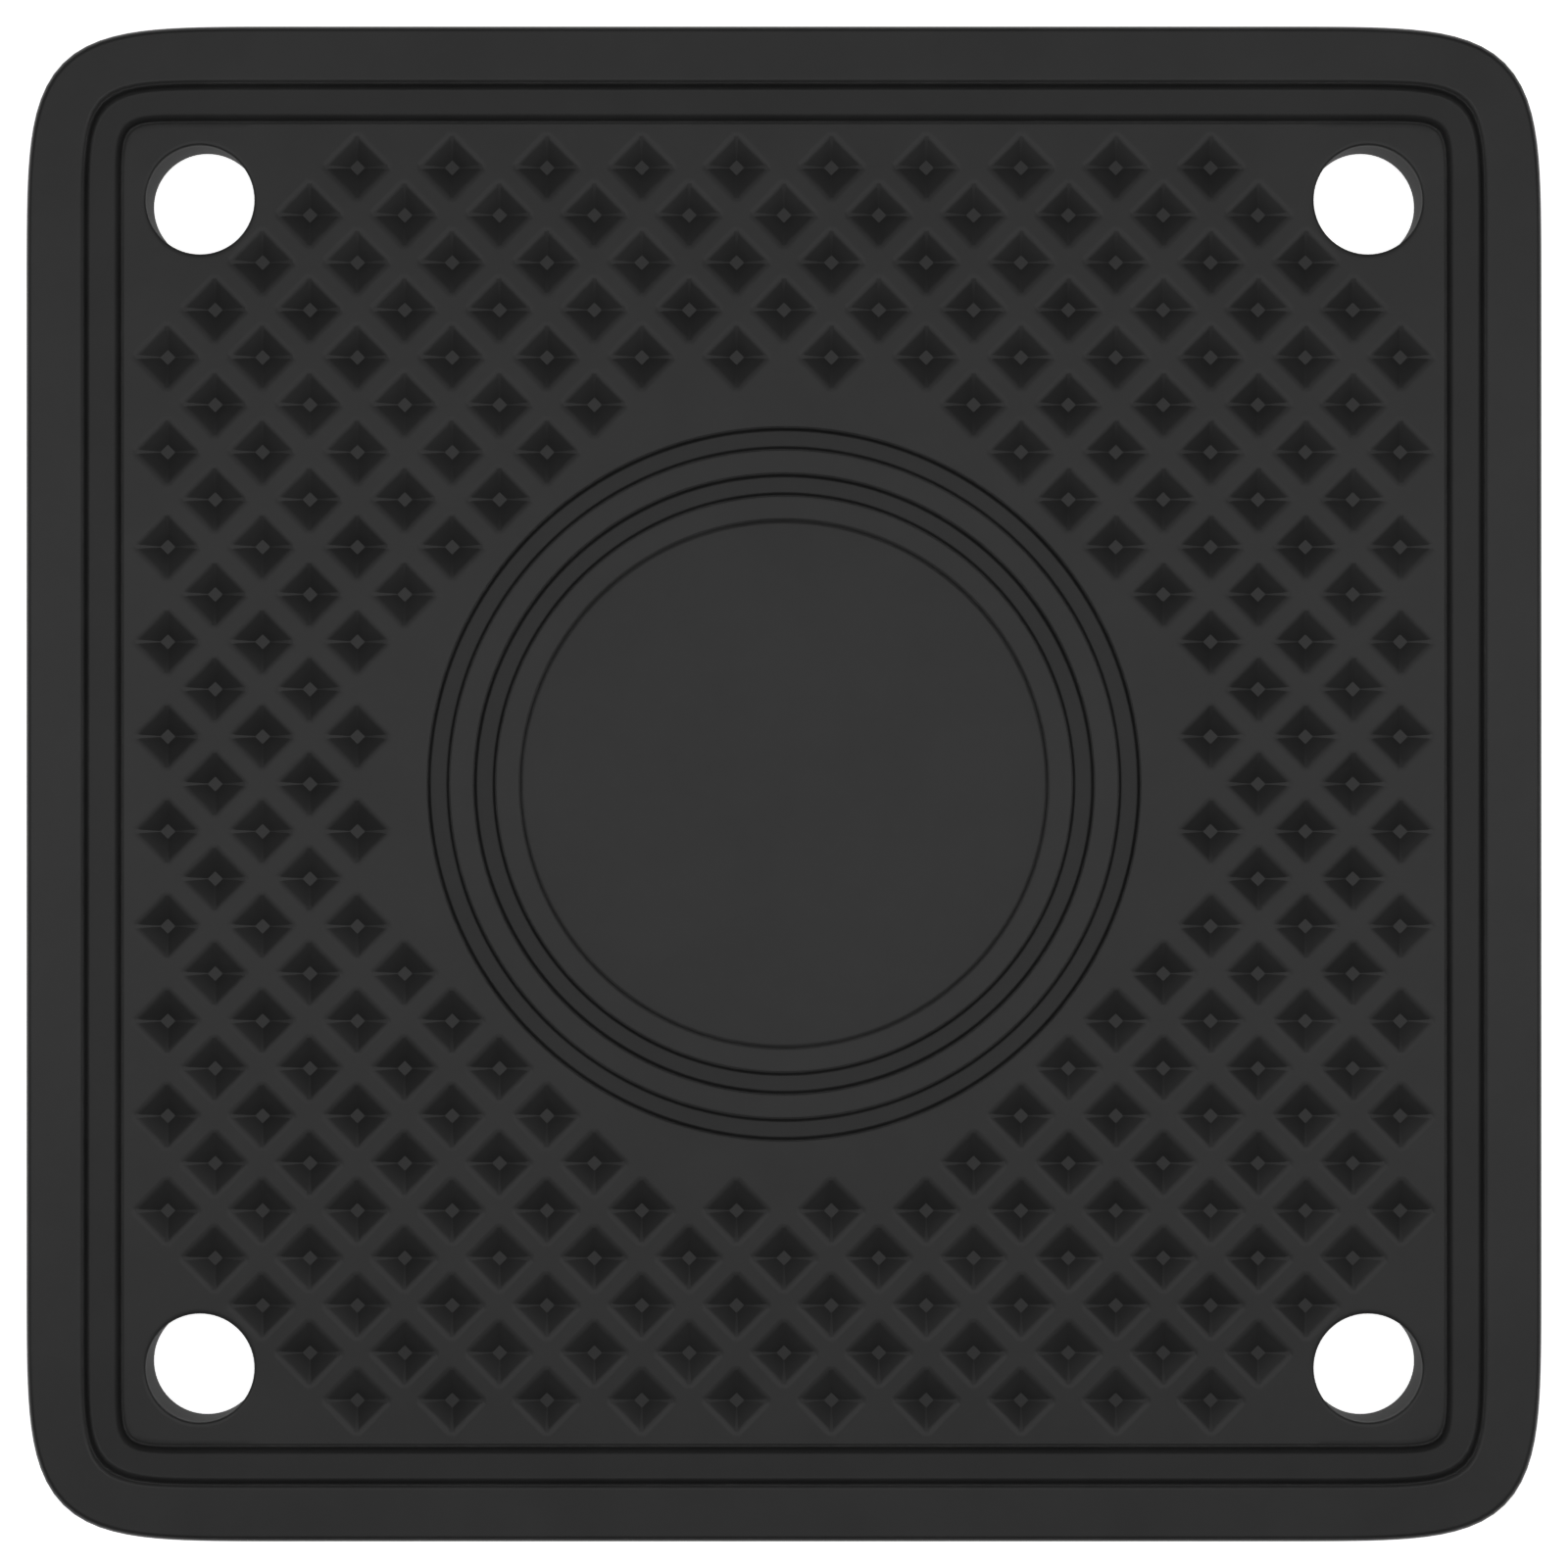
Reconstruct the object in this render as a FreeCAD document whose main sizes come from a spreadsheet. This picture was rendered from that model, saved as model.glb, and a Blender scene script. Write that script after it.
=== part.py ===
import FreeCAD, Part
import os
import Sketcher
from math import cos, radians, sin
from FreeCAD import Placement, Rotation, Vector

# A square heat-resistant mat moulded in one piece from silicone rubber: a flat
# slab with a raised rim, a channel inside the rim, a field of small pyramid
# pits around a ringed round pan, and a hanging hole at each corner.
# Millimetres. The origin is the middle of the underside, and +Z is up.

# Driving dimensions: alias, value, what it is.
DIMENSIONS = [
    ("mat_width", 180.0, "across the flat sides of the mat"),
    ("mat_thickness", 8.0, "underside to the top of the rim and field"),
    ("mat_wide_radius", 23.6, "corner arcs that leave the sides"),
    ("mat_tight_radius", 9.4, "arc at the middle of each corner"),
    ("mat_turn", 24.6, "degrees turned by each wide arc"),
    ("top_round", 1.0, "round along the top outer edge"),
    ("base_round", 0.8, "round along the bottom outer edge"),
    ("channel_width", 166.0, "across the channel's outer walls"),
    ("channel_wide_radius", 15.4, "corner arcs that leave the walls"),
    ("channel_tight_radius", 4.4, "arc at the middle of each corner"),
    ("channel_turn", 22.9, "degrees turned by each wide arc"),
    ("channel_depth", 1.2, "rim to channel floor"),
    ("channel_round", 0.4, "round along the rim's inner edge"),
    ("field_width", 157.8, "across the raised field"),
    ("field_wide_radius", 7.4, "corner arcs that leave the sides"),
    ("field_tight_radius", 2.0, "arc at the middle of each corner"),
    ("field_turn", 22.9, "degrees turned by each wide arc"),
    ("field_round", 0.3, "round along the field's edge"),
    ("pan_radius", 31.3, "recessed round pan in the middle"),
    ("inner_groove_start", 34.45, "inner radius of the first ring groove"),
    ("inner_groove_end", 36.75, "outer radius of the first ring groove"),
    ("outer_groove_start", 39.9, "inner radius of the second ring groove"),
    ("outer_groove_end", 42.25, "outer radius of the second ring groove"),
    ("ring_depth", 0.85, "depth of the pan and the ring grooves"),
    ("hole_radius", 6.44, "hanging holes, right through"),
    ("hole_spacing", 138.8, "centre to centre along a side"),
    ("hole_count", 4, "one at each corner"),
    ("hole_round", 0.25, "round along both rims of a hole"),
    ("pit_step", 5.64, "half the spacing of the pits in a row"),
    ("pit_mouth", 5.45, "side of a pit's square mouth"),
    ("pit_floor", 1.23, "side of a pit's small flat floor"),
    ("pit_depth", 0.95, "field to pit floor"),
    ("pit_lift", 0.25, "how far a pit's cutter stands above the field"),
    ("pit_last_row", 13, "outermost row, in steps from the middle"),
    ("pit_corner_steps", 22, "most steps along X plus Y, clear of the holes"),
    ("pit_clear_radius", 47.2, "no pit is centred nearer the middle"),
]

PARTS_DIR = "parts"
RIGHT_ANGLE = 90.0


def make_sheet(doc):
    """The spreadsheet that holds every driving dimension."""
    sheet = doc.addObject("Spreadsheet::Sheet", "Sheet")
    for row, (alias, value, note) in enumerate(DIMENSIONS, start=1):
        sheet.set(f"A{row}", alias)
        sheet.set(f"B{row}", str(value))
        sheet.set(f"C{row}", note)
        sheet.setAlias(f"B{row}", alias)
    doc.recompute()
    return sheet


def origin_feature(body, role):
    return next(f for f in body.Origin.OriginFeatures if f.Role == role)


def new_sketch(body, name, height=None):
    """A sketch on the body's XY plane, raised to the given expression."""
    sketch = body.newObject("Sketcher::SketchObject", name)
    sketch.AttachmentSupport = [(origin_feature(body, "XY_Plane"), "")]
    sketch.MapMode = "FlatFace"
    if height:
        sketch.setExpression("AttachmentOffset.Base.z", height)
    return sketch


def name_last(sketch, name, expression):
    """Names the newest constraint and ties it to the spreadsheet."""
    sketch.renameConstraint(sketch.ConstraintCount - 1, name)
    sketch.setExpression(f"Constraints.{name}", expression)


def add_arc(sketch, centre, radius, start, end):
    circle = Part.Circle(centre, Vector(0, 0, 1), radius)
    arc = Part.ArcOfCircle(circle, radians(start), radians(end))
    return sketch.addGeometry(arc, False)


def draw_soft_square(sketch, sheet, prefix):
    """A square whose corners each turn through three tangent arcs: a wide
    one, a tight one and a wide one, so the sides ease into the corners."""
    half = sheet.get(f"{prefix}_width") / 2
    wide = sheet.get(f"{prefix}_wide_radius")
    tight = sheet.get(f"{prefix}_tight_radius")
    turn = sheet.get(f"{prefix}_turn")
    step_in = wide - tight
    lift = half - wide + step_in * (cos(radians(turn)) - sin(radians(turn)))
    wide_centre = Vector(half - wide, lift, 0)
    tight_centre = wide_centre + Vector(cos(radians(turn)), sin(radians(turn)), 0) * step_in
    last_centre = Vector(lift, half - wide, 0)

    outline, wide_arcs, tight_arcs, sides = [], [], [], []
    for quarter in range(4):
        angle = quarter * RIGHT_ANGLE
        spin = Rotation(Vector(0, 0, 1), angle)
        first = add_arc(sketch, spin * wide_centre, wide, angle, angle + turn)
        middle = add_arc(sketch, spin * tight_centre, tight, angle + turn, angle + RIGHT_ANGLE - turn)
        last = add_arc(sketch, spin * last_centre, wide, angle + RIGHT_ANGLE - turn, angle + RIGHT_ANGLE)
        side_start = spin * Vector(lift, half, 0)
        side_end = spin * Vector(-lift, half, 0)
        side = sketch.addGeometry(Part.LineSegment(side_start, side_end), False)
        outline += [first, middle, last, side]
        wide_arcs += [first, last]
        tight_arcs.append(middle)
        sides.append(side)

    for piece, following in zip(outline, outline[1:] + outline[:1]):
        sketch.addConstraint(Sketcher.Constraint("Tangent", piece, 2, following, 1))
    top, left, bottom, right = sides
    for side, direction in ((top, "Horizontal"), (bottom, "Horizontal"), (left, "Vertical"), (right, "Vertical")):
        sketch.addConstraint(Sketcher.Constraint(direction, side))
    reaches = [
        ("right", "DistanceX", (-1, 1, right, 1)),
        ("left", "DistanceX", (left, 1, -1, 1)),
        ("top", "DistanceY", (-1, 1, top, 1)),
        ("bottom", "DistanceY", (bottom, 1, -1, 1)),
    ]
    for name, kind, ends in reaches:
        sketch.addConstraint(Sketcher.Constraint(kind, *ends, half))
        name_last(sketch, f"{prefix}_{name}", f"Sheet.{prefix}_width / 2")
    for arcs, size, radius in ((wide_arcs, "wide_radius", wide), (tight_arcs, "tight_radius", tight)):
        sketch.addConstraint(Sketcher.Constraint("Radius", arcs[0], radius))
        name_last(sketch, f"{prefix}_{size}", f"Sheet.{prefix}_{size}")
        for arc in arcs[1:]:
            sketch.addConstraint(Sketcher.Constraint("Equal", arcs[0], arc))
    for number, arc in enumerate(wide_arcs):
        sketch.addConstraint(Sketcher.Constraint("Angle", arc, radians(turn)))
        name_last(sketch, f"{prefix}_turn_{number}", f"Sheet.{prefix}_turn * 1 deg")


def draw_circle(sketch, sheet, alias, centre=None):
    """A circle on the sheet's radius, about the origin or a given centre:
    a pair of an XY offset and the expression for both its coordinates."""
    offset, offset_expression = centre or (0.0, None)
    circle = Part.Circle(Vector(offset, offset, 0), Vector(0, 0, 1), sheet.get(alias))
    index = sketch.addGeometry(circle, False)
    if offset_expression:
        for kind in ("DistanceX", "DistanceY"):
            sketch.addConstraint(Sketcher.Constraint(kind, -1, 1, index, 3, offset))
            name_last(sketch, f"{alias}_{kind}", offset_expression)
    else:
        sketch.addConstraint(Sketcher.Constraint("Coincident", index, 3, -1, 1))
    sketch.addConstraint(Sketcher.Constraint("Radius", index, sheet.get(alias)))
    name_last(sketch, alias, f"Sheet.{alias}")


def faces_at(feature, height):
    """The names of the feature's level faces at one height."""
    names = []
    for number, face in enumerate(feature.Shape.Faces, start=1):
        box = face.BoundBox
        if abs(box.ZMin - height) < 1e-6 and abs(box.ZMax - height) < 1e-6:
            names.append(f"Face{number}")
    return names


def edges_where(feature, test):
    edges = enumerate(feature.Shape.Edges, start=1)
    return [f"Edge{number}" for number, edge in edges if test(edge.BoundBox)]


def round_off(body, base, elements, radius, name):
    """A fillet of the sheet's radius along the named edges or faces."""
    fillet = body.newObject("PartDesign::Fillet", name)
    fillet.Base = (base, elements)
    fillet.setExpression("Radius", f"Sheet.{radius}")
    body.Document.recompute()
    return fillet


def pocket(body, sketch, name, depth=None):
    """A pocket down from its sketch, to the sheet's depth or right through."""
    cut = body.newObject("PartDesign::Pocket", name)
    cut.Profile = sketch
    if depth:
        cut.Type = "Length"
        cut.setExpression("Length", f"Sheet.{depth}")
    else:
        cut.Type = "ThroughAll"
    sketch.Visibility = False
    before = cut.BaseFeature.Shape.Volume
    body.Document.recompute()
    if cut.Shape.Volume > before - 1.0:
        raise RuntimeError(f"{name} cuts nothing")
    return cut


def make_slab(body, sheet):
    """The plain slab with its softened outer edges."""
    outline = new_sketch(body, "MatOutline")
    draw_soft_square(outline, sheet, "mat")
    slab = body.newObject("PartDesign::Pad", "Slab")
    slab.Profile = outline
    slab.setExpression("Length", "Sheet.mat_thickness")
    outline.Visibility = False
    body.Document.recompute()
    top = faces_at(slab, sheet.get("mat_thickness"))
    rounded = round_off(body, slab, top, "top_round", "TopEdgeRound")
    return round_off(body, rounded, faces_at(rounded, 0.0), "base_round", "BaseEdgeRound")


def make_channel(body, sheet):
    """The channel between the rim and the field."""
    outline = new_sketch(body, "ChannelOutline", "Sheet.mat_thickness")
    draw_soft_square(outline, sheet, "channel")
    draw_soft_square(outline, sheet, "field")
    channel = pocket(body, outline, "Channel", "channel_depth")

    top = sheet.get("mat_thickness")
    rim_reach = sheet.get("channel_width") / 2
    field_reach = sheet.get("field_width") / 2

    def along(reach):
        """Edges at the top that lie on the soft square of this half width."""
        inner_limit = reach * 0.9

        def test(box):
            farthest = max(abs(box.XMin), abs(box.XMax), abs(box.YMin), abs(box.YMax))
            level = abs(box.ZMin - top) < 1e-6 and abs(box.ZMax - top) < 1e-6
            return level and inner_limit < farthest < reach + 1e-4

        return test

    field_edges = edges_where(channel, along(field_reach))
    channel = round_off(body, channel, field_edges, "field_round", "FieldEdgeRound")
    rim_edges = edges_where(channel, lambda box: along(rim_reach)(box) and not along(field_reach)(box))
    return round_off(body, channel, rim_edges, "channel_round", "RimEdgeRound")


def make_rings(body, sheet):
    """The shallow round pan and the two ring grooves around it."""
    outline = new_sketch(body, "RingOutline", "Sheet.mat_thickness")
    for alias in ("pan_radius", "inner_groove_start", "inner_groove_end", "outer_groove_start", "outer_groove_end"):
        draw_circle(outline, sheet, alias)
    return pocket(body, outline, "PanAndRings", "ring_depth")


def make_holes(body, sheet):
    """The four hanging holes, turned about the middle of the mat."""
    outline = new_sketch(body, "HoleOutline", "Sheet.mat_thickness")
    draw_circle(outline, sheet, "hole_radius", (sheet.get("hole_spacing") / 2, "Sheet.hole_spacing / 2"))
    hole = pocket(body, outline, "Hole")
    pattern = body.newObject("PartDesign::PolarPattern", "HolePattern")
    pattern.Originals = [hole]
    pattern.Axis = (origin_feature(body, "Z_Axis"), [""])
    pattern.Angle = 360.0
    pattern.setExpression("Occurrences", "Sheet.hole_count")
    body.Tip = pattern
    body.Document.recompute()

    hole_width = 2 * sheet.get("hole_radius")

    def is_hole_rim(box):
        flat = box.ZLength < 1e-6
        return flat and abs(box.XLength - hole_width) < 1e-3 and abs(box.YLength - hole_width) < 1e-3

    rims = edges_where(pattern, is_hole_rim)
    if len(rims) != 2 * int(sheet.get("hole_count")):
        raise RuntimeError(f"{len(rims)} hole rims found")
    return round_off(body, pattern, rims, "hole_round", "HoleRimRound")


def pit_places(sheet):
    """Pit centres: every other point of a square grid, between the middle
    circle and the field's edge, and clear of the corner holes."""
    step = sheet.get("pit_step")
    last = int(sheet.get("pit_last_row"))
    corner = int(sheet.get("pit_corner_steps"))
    clear = sheet.get("pit_clear_radius")
    places = []
    for across in range(-last, last + 1):
        for along in range(-last, last + 1):
            centre = Vector(across * step, along * step, 0)
            staggered = (across + along) % 2 == 0
            if staggered and abs(across) + abs(along) <= corner and centre.Length > clear:
                places.append(centre)
    return places


def make_pit_cutter(doc):
    """One pit: a square pyramid standing on its cut-off point, turned so
    that its corners lie along X and Y. A wedge narrows along its own Y, so
    it is stood up on end."""
    cutter = doc.addObject("Part::Wedge", "PitCutter")
    half_floor = "Sheet.pit_floor / 2"
    half_mouth = "(Sheet.pit_mouth / 2 + (Sheet.pit_mouth - Sheet.pit_floor) / 2 * Sheet.pit_lift / Sheet.pit_depth)"
    for low, high, half_side in (
        ("Xmin", "Xmax", half_floor),
        ("Zmin", "Zmax", half_floor),
        ("X2min", "X2max", half_mouth),
        ("Z2min", "Z2max", half_mouth),
    ):
        cutter.setExpression(low, f"-{half_side}")
        cutter.setExpression(high, half_side)
    cutter.setExpression("Ymin", "Sheet.mat_thickness - Sheet.pit_depth")
    cutter.setExpression("Ymax", "Sheet.mat_thickness + Sheet.pit_lift")
    stood_up = Rotation(Vector(1, 0, 0), RIGHT_ANGLE)
    cutter.Placement = Placement(Vector(), Rotation(Vector(0, 0, 1), RIGHT_ANGLE / 2) * stood_up)
    doc.recompute()
    return cutter


def make_pits(doc, body, sheet):
    """The mat with every pit taken out of its field."""
    pit = make_pit_cutter(doc)
    cutters = doc.addObject("Part::Feature", "PitCutters")
    cutters.Shape = Part.makeCompound([pit.Shape.translated(place) for place in pit_places(sheet)])
    cutters.Placement = Placement()
    pitted = doc.addObject("Part::Cut", "PittedMat")
    pitted.Base = body
    pitted.Tool = cutters
    doc.recompute()
    return pitted


def make_trivet(doc, sheet):
    body = doc.addObject("PartDesign::Body", "PlainMat")
    make_slab(body, sheet)
    make_channel(body, sheet)
    make_rings(body, sheet)
    make_holes(body, sheet)
    trivet = make_pits(doc, body, sheet)
    trivet.Label = "silicone_trivet"
    return trivet


def check(doc, pieces):
    """Stops before anything is written if a feature or a shape is bad."""
    for item in doc.Objects:
        if any(word in item.State for word in ("Invalid", "Error")):
            raise RuntimeError(f"{item.Label} did not compute: {item.State}")
        if item.TypeId == "Sketcher::SketchObject" and item.solve() != 0:
            raise RuntimeError(f"{item.Label} does not solve")
    for piece in pieces:
        if piece.Shape.isNull() or not piece.Shape.isValid() or len(piece.Shape.Solids) != 1:
            raise RuntimeError(f"{piece.Label} is not one valid solid")


def main():
    doc = FreeCAD.newDocument("Trivet")
    sheet = make_sheet(doc)
    pieces = [make_trivet(doc, sheet)]
    doc.recompute()
    check(doc, pieces)
    os.makedirs(PARTS_DIR, exist_ok=True)
    for piece in pieces:
        piece.Shape.exportStep(os.path.join(PARTS_DIR, f"{piece.Label}.step"))
        box = piece.Shape.BoundBox
        size = f"{box.XLength:.2f} x {box.YLength:.2f} x {box.ZLength:.2f} mm"
        print(f"{piece.Label}: {size}, {piece.Shape.Volume / 1000:.1f} cm3, {len(pit_places(sheet))} pits")


main()
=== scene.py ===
from math import radians, sqrt, tan

import bmesh
import bpy
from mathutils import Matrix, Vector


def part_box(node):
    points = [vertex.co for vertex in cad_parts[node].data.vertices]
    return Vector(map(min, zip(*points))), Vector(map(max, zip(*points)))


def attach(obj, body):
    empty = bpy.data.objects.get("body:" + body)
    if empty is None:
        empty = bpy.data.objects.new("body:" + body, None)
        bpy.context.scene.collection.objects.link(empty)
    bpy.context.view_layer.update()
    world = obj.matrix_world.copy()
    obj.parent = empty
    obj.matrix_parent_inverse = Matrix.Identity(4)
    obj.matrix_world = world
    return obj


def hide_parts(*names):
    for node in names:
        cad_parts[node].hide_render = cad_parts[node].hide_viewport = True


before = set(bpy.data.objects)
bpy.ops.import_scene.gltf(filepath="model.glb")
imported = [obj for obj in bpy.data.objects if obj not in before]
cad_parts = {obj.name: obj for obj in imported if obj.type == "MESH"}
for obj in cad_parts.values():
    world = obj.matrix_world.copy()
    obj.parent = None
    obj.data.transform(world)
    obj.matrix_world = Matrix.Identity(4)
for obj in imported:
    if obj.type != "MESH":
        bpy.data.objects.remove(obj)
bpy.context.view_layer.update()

mm = 0.001
closeBy = 0.001 * mm  # two heights or points nearer than this are the same
matLow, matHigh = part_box("silicone_trivet")
top = matHigh[2]  # the level of the rim, the field and the ring lands
matSize = [round(size / mm, 1) for size in (2 * matHigh[0], 2 * matHigh[1], top)]
print("frame loaded, mat", matSize, "mm")


def selectNone():
    bpy.ops.object.select_all(action="DESELECT")


def startEdit(piece, mode):
    selectNone()
    bpy.context.view_layer.objects.active = piece
    piece.select_set(True)
    bpy.ops.object.mode_set(mode="EDIT")
    bpy.ops.mesh.select_mode(type=mode)
    bpy.ops.mesh.select_all(action="DESELECT")
    return bmesh.from_edit_mesh(piece.data)


def endEdit():
    bpy.ops.object.mode_set(mode="OBJECT")


def pickEdges(piece, test):
    # selects the edges whose two ends both pass the test
    mesh = bmesh.from_edit_mesh(piece.data)
    bpy.ops.mesh.select_all(action="DESELECT")
    for edge in mesh.edges:
        edge.select = all(test(vert.co) for vert in edge.verts)
    bmesh.update_edit_mesh(piece.data)


def pickOpenEdges(piece, height):
    # selects the open edges that lie level at one height
    mesh = bmesh.from_edit_mesh(piece.data)
    bpy.ops.mesh.select_all(action="DESELECT")
    for edge in mesh.edges:
        level = all(abs(vert.co.z - height) < closeBy for vert in edge.verts)
        edge.select = level and len(edge.link_faces) == 1
    bmesh.update_edit_mesh(piece.data)


def growRim(piece, start, end):
    # pulls the open outer edge of a round piece from one radius and height to the next
    mesh = bmesh.from_edit_mesh(piece.data)
    bpy.ops.mesh.select_all(action="DESELECT")
    for edge in mesh.edges:
        edge.select = len(edge.link_faces) == 1
    bmesh.update_edit_mesh(piece.data)
    bpy.ops.mesh.extrude_edges_move(TRANSFORM_OT_translate={"value": (0, 0, end[1] - start[1])})
    grow = end[0] / start[0]
    bpy.ops.transform.resize(value=(grow, grow, 1), center_override=(0, 0, 0))


def joinPieces(pieces):
    selectNone()
    for piece in pieces:
        piece.select_set(True)
    bpy.context.view_layer.objects.active = pieces[0]
    bpy.ops.object.join()
    return pieces[0]


def settle(piece):
    # the place, turn and size go into the mesh, and the object stays at the origin
    selectNone()
    piece.select_set(True)
    bpy.context.view_layer.objects.active = piece
    bpy.ops.object.transform_apply(location=True, rotation=True, scale=True)


slabShape = {
    "cornerSteps": 40,
    "edgeSteps": 5,
    "apron": 0.9 * mm,  # flat strip kept inside the field's rounded edge
    # half width, corner length, corner shape, height, radius of the round
    "rings": [
        (matHigh[0] - 1.4 * mm, 36.0 * mm, 0.775, 0.0, 0.0),
        (matHigh[0], 37.3 * mm, 0.781, 0.0, 0.6 * mm),
        (matHigh[0], 37.3 * mm, 0.781, top, 0.8 * mm),
        (83.22 * mm, 32.2 * mm, 0.865, top, 0.5 * mm),
        (82.8 * mm, 31.9 * mm, 0.865, top - 1.2 * mm, 0.42 * mm),
        (78.98 * mm, 15.4 * mm, 0.868, top - 1.2 * mm, 0.75 * mm),
        (78.68 * mm, 15.2 * mm, 0.868, top, 0.45 * mm),
    ],
}


def makeRing(halfWidth, cornerLength, cornerShape, height, steps):
    # a flat square whose corners are eased, kept as its outline alone
    bpy.ops.mesh.primitive_plane_add(size=2 * halfWidth, location=(0, 0, height))
    ring = bpy.context.object
    bpy.ops.object.mode_set(mode="EDIT")
    bpy.ops.mesh.select_all(action="SELECT")
    bpy.ops.mesh.bevel(affect="VERTICES", offset=cornerLength, segments=steps, profile=cornerShape)
    bpy.ops.mesh.select_all(action="SELECT")
    bpy.ops.mesh.delete(type="ONLY_FACE")
    bpy.ops.object.mode_set(mode="OBJECT")
    return ring


def bridgeRings(slab, firstVert, count):
    # fills between one outline and the next with a band of faces
    mesh = startEdit(slab, "VERT")
    mesh.verts.ensure_lookup_table()
    for vert in mesh.verts[firstVert:firstVert + 2 * count]:
        vert.select = True
    mesh.select_flush(True)
    bmesh.update_edit_mesh(slab.data)
    bpy.ops.mesh.select_mode(type="EDGE")
    bpy.ops.mesh.bridge_edge_loops()
    endEdit()


def makeSlab(shape):
    rings = [makeRing(*ring[:4], shape["cornerSteps"]) for ring in shape["rings"]]
    count = len(rings[0].data.vertices)
    slab = joinPieces(rings)
    slab.name = slab.data.name = "slab"
    settle(slab)
    for place in range(len(shape["rings"]) - 1):
        bridgeRings(slab, place * count, count)
    startEdit(slab, "EDGE")
    pickOpenEdges(slab, top)
    bpy.ops.mesh.extrude_edges_move()
    shrink = 1 - shape["apron"] / shape["rings"][-1][0]
    bpy.ops.transform.resize(value=(shrink, shrink, 1), center_override=(0, 0, 0))
    endEdit()
    widest = max(ring[4] for ring in shape["rings"])
    weights = slab.data.attributes.new("bevel_weight_edge", "FLOAT", "EDGE")
    for edge in slab.data.edges:
        first, second = (vert // count for vert in edge.vertices)
        if first == second < len(shape["rings"]):
            weights.data[edge.index].value = shape["rings"][first][4] / widest
    roundEdges(slab, widest, shape["edgeSteps"])
    return slab


def roundEdges(piece, width, steps):
    bevel = piece.modifiers.new("moulded rounds", "BEVEL")
    bevel.limit_method = "WEIGHT"
    bevel.width = width
    bevel.segments = steps
    bevel.use_clamp_overlap = False
    bevel.face_strength_mode = "FSTR_ALL"
    selectNone()
    piece.select_set(True)
    bpy.context.view_layer.objects.active = piece
    bpy.ops.object.modifier_apply(modifier=bevel.name)


panShape = {
    "around": 192,
    "edgeSteps": 3,
    "depth": 0.85 * mm,
    "round": 0.28 * mm,
    "lean": 0.08 * mm,  # half of how far each wall leans over its depth
    "walls": [31.26 * mm, 34.39 * mm, 36.7 * mm, 39.87 * mm, 42.18 * mm],
    "apron": 0.8 * mm,
}


def makePan(shape):
    low = top - shape["depth"]
    lean = shape["lean"]
    bpy.ops.mesh.primitive_circle_add(vertices=shape["around"], radius=shape["walls"][0] - lean,
                                      fill_type="NGON", location=(0, 0, low))
    pan = bpy.context.object
    pan.name = pan.data.name = "pan"
    settle(pan)

    # radius and height, out from the pan's own floor
    profile = [(shape["walls"][0] - lean, low), (shape["walls"][0] + lean, top)]
    for number, wall in enumerate(shape["walls"][1:], start=1):
        goesDown = number % 2 == 1
        near, far = (top, low) if goesDown else (low, top)
        profile += [(wall - lean, near), (wall + lean, far)]
    profile.append((shape["walls"][-1] + shape["apron"], top))

    startEdit(pan, "EDGE")
    for start, end in zip(profile, profile[1:]):
        growRim(pan, start, end)
    outside = shape["walls"][-1] + shape["apron"] / 2
    mesh = bmesh.from_edit_mesh(pan.data)
    bpy.ops.mesh.select_all(action="DESELECT")
    for edge in mesh.edges:
        ends = [vert.co.xy.length for vert in edge.verts]
        edge.select = abs(ends[0] - ends[1]) < closeBy and ends[0] < outside
    bmesh.update_edit_mesh(pan.data)
    bpy.ops.mesh.bevel(offset=shape["round"], segments=shape["edgeSteps"], profile=0.5,
                       face_strength_mode="ALL")
    endEdit()
    return pan


holeShape = {
    "around": 72,
    "edgeSteps": 3,
    "radius": 6.44 * mm,
    "round": 0.3 * mm,
    "apron": 0.65 * mm,
    "offset": 69.32 * mm,
}


def makeHole(shape, side, end):
    outside = shape["radius"] + shape["apron"]
    bpy.ops.mesh.primitive_circle_add(vertices=shape["around"], radius=outside, fill_type="NOTHING")
    hole = bpy.context.object
    hole.name = hole.data.name = "hole"
    bpy.ops.object.mode_set(mode="EDIT")
    bpy.ops.mesh.select_all(action="SELECT")
    shrink = shape["radius"] / outside
    for size, drop in ((shrink, 0.0), (1.0, -top), (1 / shrink, 0.0)):
        bpy.ops.mesh.extrude_edges_move(TRANSFORM_OT_translate={"value": (0, 0, drop)})
        bpy.ops.transform.resize(value=(size, size, 1), center_override=(0, 0, 0))
    halfway = shape["radius"] + shape["apron"] / 2
    pickEdges(hole, lambda place: place.xy.length < halfway)
    mesh = bmesh.from_edit_mesh(hole.data)
    for edge in mesh.edges:
        edge.select = edge.select and abs(edge.verts[0].co.z - edge.verts[1].co.z) < closeBy
    bmesh.update_edit_mesh(hole.data)
    bpy.ops.mesh.bevel(offset=shape["round"], segments=shape["edgeSteps"], profile=0.5,
                       face_strength_mode="ALL")
    endEdit()
    hole.location = (side * shape["offset"], end * shape["offset"], top)
    settle(hole)
    return hole


pitShape = {
    "mouth": 5.55 * mm,  # side of the square mouth
    "floor": 1.27 * mm,  # side of the small flat floor
    "waist": 3.3 * mm,  # side of the square where the wall grows steeper
    "waistDepth": 0.45 * mm,
    "depth": 0.95 * mm,
    "apron": 6.6 * mm,
    "crease": 0.48 * mm,  # width of the narrow face between two walls, at the mouth
    "mouthRound": 0.5 * mm,
    "mouthSteps": 2,
    "step": 5.633 * mm,  # half the spacing along a row
    "lastRow": 13,
    "cornerLimit": 22,  # steps along X and Y together, which keeps pits off the corner holes
    "clearRadius": 47.1 * mm,  # and this keeps them off the rings
}


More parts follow.
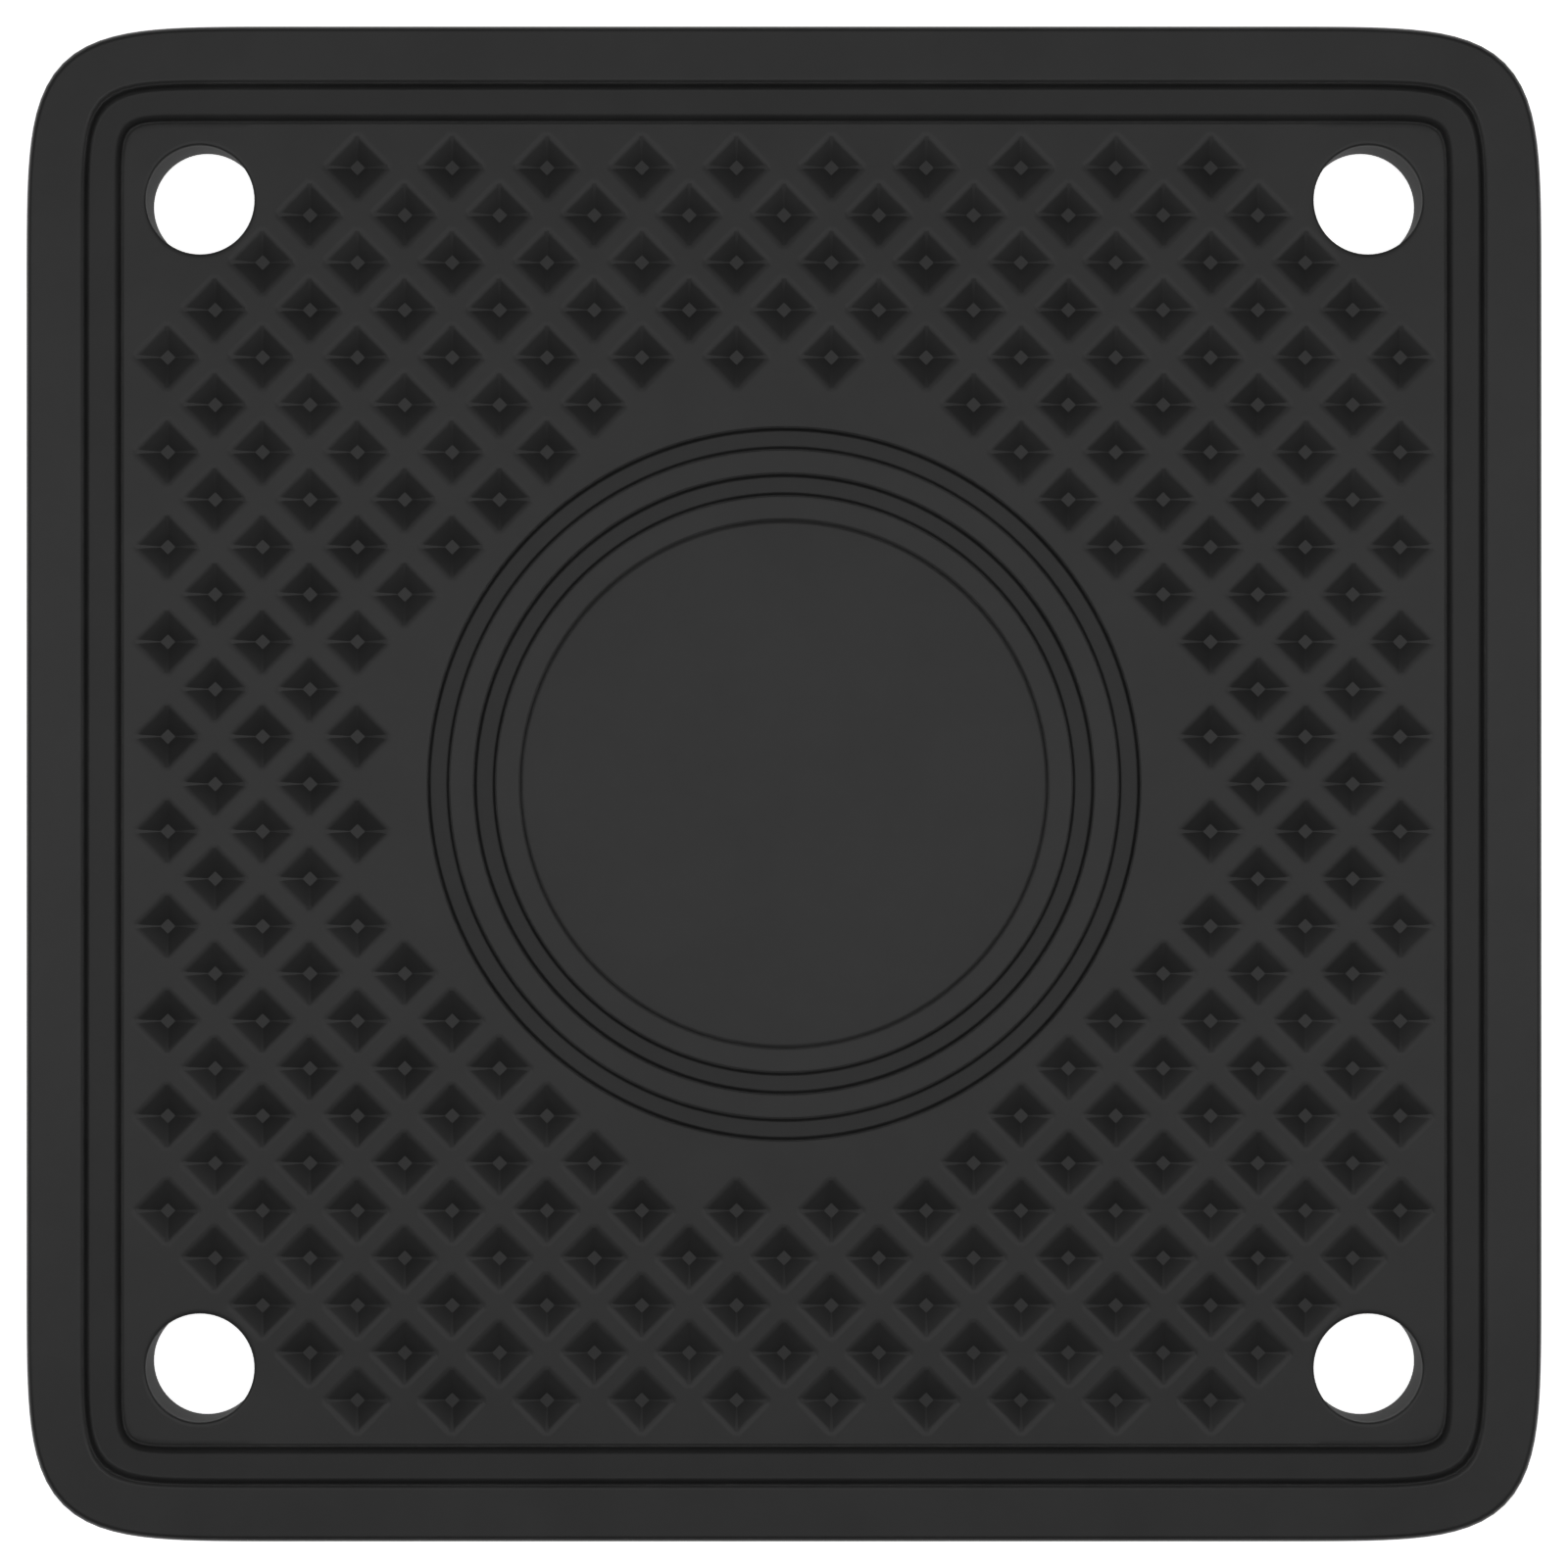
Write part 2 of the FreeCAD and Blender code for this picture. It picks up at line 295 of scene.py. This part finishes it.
def makePit(shape):
    # starts as the flat strip around the mouth, then is pushed in twice
    bpy.ops.mesh.primitive_plane_add(size=shape["apron"], location=(0, 0, top))
    pit = bpy.context.object
    pit.name = pit.data.name = "pit"
    pit.rotation_euler = (0, 0, radians(45))
    settle(pit)
    bpy.ops.object.mode_set(mode="EDIT")
    bpy.ops.mesh.select_all(action="SELECT")
    margin = (shape["apron"] - shape["mouth"]) / 2
    cut = (shape["crease"] + 2 * margin * tan(radians(22.5))) / sqrt(2)
    bpy.ops.mesh.bevel(affect="VERTICES", offset=cut, segments=1)
    bpy.ops.mesh.select_all(action="SELECT")
    bpy.ops.mesh.inset(thickness=margin)
    for side, nextSide, drop in (
        (shape["mouth"], shape["waist"], shape["waistDepth"]),
        (shape["waist"], shape["floor"], shape["depth"] - shape["waistDepth"]),
    ):
        bpy.ops.mesh.extrude_region_move(TRANSFORM_OT_translate={"value": (0, 0, -drop)})
        shrink = nextSide / side
        bpy.ops.transform.resize(value=(shrink, shrink, 1), center_override=(0, 0, 0))
    bpy.ops.mesh.select_mode(type="EDGE")
    mouthReach = (shape["mouth"] + shape["apron"]) / 2 / sqrt(2)
    pickEdges(pit, lambda place: place.z > top - closeBy
              and abs(place.x) + abs(place.y) < mouthReach)
    bpy.ops.mesh.bevel(offset=shape["mouthRound"], segments=shape["mouthSteps"], profile=0.5,
                       face_strength_mode="ALL")
    pickEdges(pit, lambda place: place.z < top - shape["depth"] + closeBy)
    bpy.ops.mesh.mark_sharp()
    pickCreases(pit)
    bpy.ops.mesh.region_to_loop()
    bpy.ops.mesh.mark_sharp()
    endEdit()
    return pit


def pickCreases(pit):
    # the narrow faces between two walls, which alone look along X or Y
    bpy.ops.mesh.select_mode(type="FACE")
    mesh = bmesh.from_edit_mesh(pit.data)
    bpy.ops.mesh.select_all(action="DESELECT")
    for face in mesh.faces:
        sloped = face.normal.z < 0.99
        face.select = sloped and min(abs(face.normal.x), abs(face.normal.y)) < 0.01
    bmesh.update_edit_mesh(pit.data)


def pitPlaces(shape):
    # every other point of a square grid, outside the middle circle and clear of the holes
    rows = range(-shape["lastRow"], shape["lastRow"] + 1)
    for across in rows:
        for along in rows:
            x, y = across * shape["step"], along * shape["step"]
            staggered = (across + along) % 2 == 0
            clear = sqrt(x * x + y * y) > shape["clearRadius"]
            if staggered and clear and abs(across) + abs(along) <= shape["cornerLimit"]:
                yield x, y


def makePits(shape):
    first = makePit(shape)
    pits = []
    for x, y in pitPlaces(shape):
        pit = first.copy()
        pit.data = first.data.copy()
        pit.location = (x, y, 0)
        bpy.context.collection.objects.link(pit)
        pits.append(pit)
    bpy.data.objects.remove(first)
    print(len(pits), "pits")
    pits = joinPieces(pits)
    settle(pits)
    return pits


def turnAll(angle):
    bpy.ops.mesh.select_all(action="SELECT")
    bpy.ops.transform.rotate(value=angle, orient_axis="Z", center_override=(0, 0, 0))


def fillLevel(mat, height):
    # closes the flat ground between every open outline at one height
    slant = radians(20)  # points in one line along X or Y would confuse the fill
    turnAll(slant)
    pickOpenEdges(mat, height)
    bpy.ops.mesh.fill(use_beauty=True)
    turnAll(-slant)


def makeMat():
    parts = [makeSlab(slabShape), makePan(panShape)]
    parts += [makeHole(holeShape, side, end) for side in (-1, 1) for end in (-1, 1)]
    parts.append(makePits(pitShape))
    mat = joinPieces(parts)
    mat.name = mat.data.name = "silicone_mat"
    startEdit(mat, "EDGE")
    fillLevel(mat, top)
    fillLevel(mat, 0.0)
    bpy.ops.mesh.select_all(action="SELECT")
    bpy.ops.mesh.remove_doubles(threshold=closeBy)
    bpy.ops.mesh.normals_make_consistent(inside=False)
    endEdit()
    selectNone()
    mat.select_set(True)
    bpy.context.view_layer.objects.active = mat
    bpy.ops.object.shade_smooth()
    weigh = mat.modifiers.new("flats stay flat", "WEIGHTED_NORMAL")
    weigh.keep_sharp = True
    weigh.use_face_influence = True
    bpy.ops.object.modifier_apply(modifier=weigh.name)
    print("mat made,", len(mat.data.polygons), "faces")
    return mat


mat = makeMat()
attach(mat, "root")
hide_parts("silicone_trivet")


def toLinear(hexColour):
    # an sRGB hex colour as Blender's linear colour
    parts = [int(hexColour[place:place + 2], 16) / 255 for place in (1, 3, 5)]
    linear = [part / 12.92 if part <= 0.04045 else ((part + 0.055) / 1.055) ** 2.4 for part in parts]
    return linear + [1.0]


def addNode(tree, kind, settings=None, **links):
    # a node with its own settings, and with values or sockets for its inputs
    node = tree.nodes.new(kind)
    for name, value in (settings or {}).items():
        setattr(node, name, value)
    for name, value in links.items():
        socket = node.inputs[name.replace("_", " ")]
        if isinstance(value, bpy.types.NodeSocket):
            tree.links.new(value, socket)
        else:
            socket.default_value = value
    return node


def newMaterial(name):
    material = bpy.data.materials.new(name)
    material.use_nodes = True
    tree = material.node_tree
    tree.nodes.clear()
    return material, tree


# moulded black silicone rubber: black through and through, with nearly no colour, and a satin
# skin with a very fine grain that turns light from above into one soft, broad gloss
siliconeLook = {
    "black": "#292929",
    "bloom": "#2f2f2f",  # a faint grey bloom, as fine dust gives
    "bloomSize": 11 * mm,
    "bloomSpread": (0.35, 0.65),  # of the noise, between pure black and full bloom
    "roughness": (0.30, 0.34),
    "grain": 0.28 * mm,  # drawn coarser than real, which would be some 0.05 mm, so that it shows
    "grainDepth": 0.02 * mm,
    "grainStrength": 0.3,
    "cutRoughness": 0.06,  # added on the floors of the channel and grooves, which look darker
    "channelLevel": top - 1.0 * mm,  # below this is the channel
    "grooveLevel": top - 0.6 * mm,  # and below this the grooves, within reach of their middle
    "grooveMiddle": 38.35 * mm,
    "grooveReach": 4.1 * mm,
    "steep": (0.15, 0.5),  # upward part of the normal: a wall below the first, none above the last
    "steepRoughness": 0.3,  # added on the walls, which look duller than the top
    "gloss": (0.5, 0.2),  # of the top and of the walls
    "refraction": 1.41,
}


def makeSilicone(look):
    material, tree = newMaterial("mouldedBlackSilicone")
    space = addNode(tree, "ShaderNodeTexCoord").outputs["Object"]
    mottle = addNode(tree, "ShaderNodeTexNoise", Vector=space, Scale=1 / look["bloomSize"],
                     Detail=4.0, Roughness=0.6)
    grain = addNode(tree, "ShaderNodeTexNoise", Vector=space, Scale=1 / look["grain"],
                    Detail=2.0, Roughness=0.7)
    colour = addNode(tree, "ShaderNodeValToRGB", Fac=mottle.outputs["Fac"])
    stops = colour.color_ramp.elements
    for stop, place, name in zip(stops, look["bloomSpread"], ("black", "bloom")):
        stop.position = place
        stop.color = toLinear(look[name])

    # 1 in the channel, in the two ring grooves and all below them, 0 elsewhere
    height = addNode(tree, "ShaderNodeSeparateXYZ", Vector=space).outputs["Z"]
    flat = addNode(tree, "ShaderNodeVectorMath", {"operation": "MULTIPLY"})
    tree.links.new(space, flat.inputs[0])
    flat.inputs[1].default_value = (1, 1, 0)
    radius = addNode(tree, "ShaderNodeVectorMath", {"operation": "LENGTH"},
                     Vector=flat.outputs["Vector"])
    inGroove = addNode(tree, "ShaderNodeMath", {"operation": "COMPARE"})
    tree.links.new(radius.outputs["Value"], inGroove.inputs[0])
    inGroove.inputs[1].default_value = look["grooveMiddle"]
    inGroove.inputs[2].default_value = look["grooveReach"]
    levels = []
    for level in ("channelLevel", "grooveLevel"):
        below = addNode(tree, "ShaderNodeMath", {"operation": "LESS_THAN"})
        tree.links.new(height, below.inputs[0])
        below.inputs[1].default_value = look[level]
        levels.append(below.outputs["Value"])
    cut = addNode(tree, "ShaderNodeMath", {"operation": "MULTIPLY_ADD", "use_clamp": True})
    belowChannel, belowGroove = levels
    for place, socket in enumerate((inGroove.outputs["Value"], belowGroove, belowChannel)):
        tree.links.new(socket, cut.inputs[place])

    # 1 on upright walls, 0 on everything that faces up or down
    normal = addNode(tree, "ShaderNodeNewGeometry").outputs["Normal"]
    upright = addNode(tree, "ShaderNodeSeparateXYZ", Vector=normal)
    slope = addNode(tree, "ShaderNodeMath", {"operation": "ABSOLUTE"}, Value=upright.outputs["Z"])
    steepest, flattest = look["steep"]
    wall = addNode(tree, "ShaderNodeMapRange", Value=slope.outputs["Value"],
                   From_Min=steepest, From_Max=flattest, To_Min=1.0, To_Max=0.0)
    glossTop, glossWall = look["gloss"]
    gloss = addNode(tree, "ShaderNodeMapRange", Value=wall.outputs["Result"],
                    To_Min=glossTop, To_Max=glossWall)

    low, high = look["roughness"]
    satin = addNode(tree, "ShaderNodeMapRange", Value=mottle.outputs["Fac"],
                    To_Min=low, To_Max=high)
    rough = satin.outputs["Result"]
    masks = ((cut.outputs["Value"], "cutRoughness"), (wall.outputs["Result"], "steepRoughness"))
    for mask, amount in masks:
        rougher = addNode(tree, "ShaderNodeMath", {"operation": "MULTIPLY_ADD"})
        tree.links.new(mask, rougher.inputs[0])
        rougher.inputs[1].default_value = look[amount]
        tree.links.new(rough, rougher.inputs[2])
        rough = rougher.outputs["Value"]
    bump = addNode(tree, "ShaderNodeBump", Height=grain.outputs["Fac"],
                   Strength=look["grainStrength"], Distance=look["grainDepth"])
    shader = addNode(tree, "ShaderNodeBsdfPrincipled", Base_Color=colour.outputs["Color"],
                     Roughness=rough, Normal=bump.outputs["Normal"], IOR=look["refraction"],
                     Specular_IOR_Level=gloss.outputs["Result"])
    addNode(tree, "ShaderNodeOutputMaterial", Surface=shader.outputs["BSDF"])
    return material


mat.data.materials.clear()
mat.data.materials.append(makeSilicone(siliconeLook))


stageLook = {
    "around": 96,
    "radius": 3.0,
    # radius and height up the curved edge
    "cove": ((3.12, 0.03), (3.22, 0.12), (3.25, 0.3), (3.25, 0.6)),
    "white": "#f4f4f4",
    "roughness": 0.9,
    "glow": 0.88,
    "sky": 0.13,  # faint even light from all round
}


def makeFloor(look):
    # a round white table whose far edge sweeps up, so that no horizon shows
    selectNone()
    bpy.ops.mesh.primitive_circle_add(vertices=look["around"], radius=look["radius"],
                                      fill_type="NGON", location=(0, 0, 0))
    floor = bpy.context.object
    floor.name = floor.data.name = "floor"
    startEdit(floor, "EDGE")
    profile = ((look["radius"], 0.0),) + look["cove"]
    for start, end in zip(profile, profile[1:]):
        growRim(floor, start, end)
    endEdit()
    bpy.ops.object.shade_smooth()
    # white laminate lit from below: matt, with an even glow that leaves hardly a shadow
    material, tree = newMaterial("litWhiteTable")
    shader = addNode(tree, "ShaderNodeBsdfPrincipled", Base_Color=toLinear(look["white"]),
                     Roughness=look["roughness"], Emission_Color=(1, 1, 1, 1),
                     Emission_Strength=look["glow"])
    addNode(tree, "ShaderNodeOutputMaterial", Surface=shader.outputs["BSDF"])
    floor.data.materials.append(material)


# each softbox hangs level over the table, and no two at one height:
# middle, size and power for each square metre
softboxes = {
    "longStrip": ((0.0, 0.0, 1.20), (2.4, 0.4), 1.58),
    "strip": ((0.25, 0.0, 1.22), (1.9, 0.4), 1.47),
    "farEnds": ((0.0, 0.0, 1.24), (4.4, 0.6), 0.5),
    "spillBehind": ((0.0, 0.5, 1.26), (1.4, 0.6), 1.2),
    "spillInFront": ((0.0, -0.4, 1.26), (1.4, 0.4), 0.9),
}


def addSoftboxes(look):
    for name, (place, (width, length), power) in look.items():
        light = bpy.data.lights.new(name, "AREA")
        light.shape = "RECTANGLE"
        light.size, light.size_y = width, length
        light.energy = power * width * length
        lamp = bpy.data.objects.new(name, light)
        lamp.location = place
        bpy.context.collection.objects.link(lamp)


makeFloor(stageLook)
addSoftboxes(softboxes)
world = bpy.data.worlds.new("studio")
world.use_nodes = True
sky = world.node_tree.nodes["Background"]
sky.inputs["Color"].default_value = (1, 1, 1, 1)
sky.inputs["Strength"].default_value = stageLook["sky"]
bpy.context.scene.world = world
print("lights made")

cameraView = {
    "distance": 563 * mm,  # lens to the mat's top
    "across": 186.05 * mm,  # width of the view at the mat's top
    "sensor": 36.0,  # millimetres, as the lens length is
    "near": 0.01,
    "far": 50.0,
}


def makeCamera(view):
    camera = bpy.data.cameras.new("camera")
    camera.sensor_width = view["sensor"]
    camera.lens = camera.sensor_width * view["distance"] / view["across"]
    camera.clip_start = view["near"]
    camera.clip_end = view["far"]
    holder = bpy.data.objects.new("camera", camera)
    holder.location = (0, 0, top + view["distance"])
    bpy.context.collection.objects.link(holder)
    bpy.context.scene.camera = holder


makeCamera(cameraView)
bpy.context.scene.view_settings.view_transform = "Standard"
bpy.context.scene.view_settings.look = "None"
